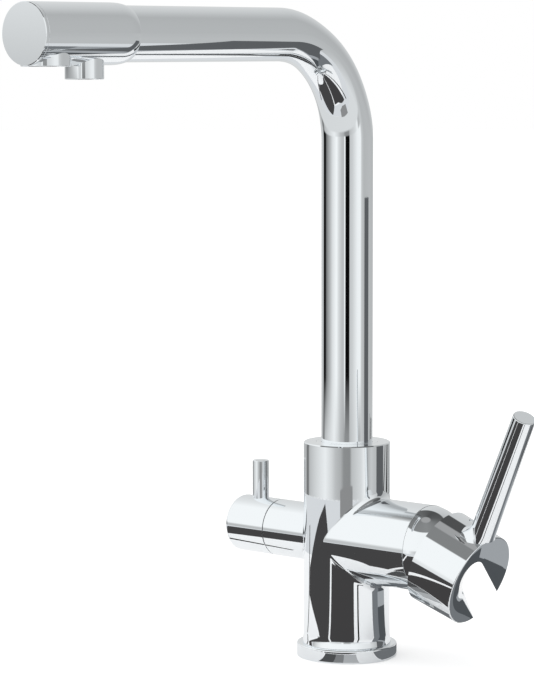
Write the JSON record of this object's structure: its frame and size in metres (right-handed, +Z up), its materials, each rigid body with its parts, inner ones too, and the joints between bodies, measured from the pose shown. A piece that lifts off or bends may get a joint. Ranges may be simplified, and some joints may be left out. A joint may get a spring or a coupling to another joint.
{
  "type": "three way kitchen tap",
  "caption": "Tall chrome kitchen tap with a square-bent swivel spout, a tilting side lever for hot and cold, and a small knob and outlet for filtered water.",
  "frame": {"origin": "middle of the tap's foot, on the worktop", "axes": "+Z up, spout reaches towards -Y, mixer arm towards +X, filter arm towards -X"},
  "size_m": [0.1891, 0.2388, 0.3165],
  "materials": {
    "chrome": "polished",
    "cast_brass": "machined",
    "steel": "satin",
    "ceramic": "polished ceramic",
    "white_plastic": "moulded",
    "grey_plastic": "moulded",
    "black_rubber": "matte"
  },
  "bodies": {
    "tap_body": {"base_ring": "chrome", "base_gasket": "black_rubber", "body_shell": "chrome", "lower_swivel_seat": "white_plastic", "collar_nut": "chrome", "collar_washer": "white_plastic", "spigot_seal": "black_rubber", "cartridge_housing": "grey_plastic", "cartridge_seals": "black_rubber", "fixed_disc": "ceramic", "cartridge_nut": "cast_brass", "dome_cap": "chrome", "filter_valve_housing": "cast_brass", "filter_valve_seals": "black_rubber", "filter_fixed_disc": "ceramic", "filter_valve_gland": "cast_brass"},
    "spout": {"spout_tube": "chrome", "spout_foot": "cast_brass", "spout_seals": "black_rubber", "upper_swivel_bush": "white_plastic", "filter_water_tube": "white_plastic", "nozzle_head": "chrome", "nozzle_end_cap": "chrome", "filter_elbow": "white_plastic", "aerator_housing": "chrome", "aerator_insert": "grey_plastic", "aerator_washer": "black_rubber", "filter_outlet_housing": "chrome", "filter_outlet_insert": "grey_plastic", "filter_outlet_washer": "black_rubber"},
    "mixing_guide": {"turning_guide": "white_plastic", "stem_pin": "steel"},
    "sliding_disc": {"disc_carrier": "white_plastic", "moving_disc": "ceramic"},
    "handle": {"cartridge_stem": "cast_brass", "handle_hub": "chrome", "handle_lever": "chrome", "hub_screw": "steel", "hub_screw_plug": "chrome"},
    "filter_handle": {"filter_spindle": "cast_brass", "filter_moving_disc": "ceramic", "filter_knob": "chrome", "filter_knob_screw": "steel", "filter_pin": "chrome"}
  },
  "joints": [
    {"name": "spout_swivel", "type": "hinge", "parent": "tap_body", "child": "spout", "pos_m": [0, 0, 0], "axis": [0, 0, 1], "continuous": true},
    {"name": "mixing_turn", "type": "hinge", "parent": "tap_body", "child": "mixing_guide", "pos_m": [0, 0, 0.0583], "axis": [1, 0, 0], "range_deg": [-55, 35]},
    {"name": "flow_tilt", "type": "hinge", "parent": "mixing_guide", "child": "handle", "pos_m": [0.0492, 0, 0.0583], "axis": [0, 0.9848, 0.1736], "range_deg": [-21.8, 3.2]},
    {"name": "disc_slide", "type": "slide", "parent": "mixing_guide", "child": "sliding_disc", "axis": [0, -0.1736, 0.9848], "range_m": [-0.00635, 0.00095]},
    {"name": "filter_turn", "type": "hinge", "parent": "tap_body", "child": "filter_handle", "pos_m": [0, 0, 0.0583], "axis": [1, 0, 0], "range_deg": [0, 90]}
  ],
  "couplings": [
    {"joint": "disc_slide", "follows": "flow_tilt", "m_per_rad": 0.0166}
  ]
}
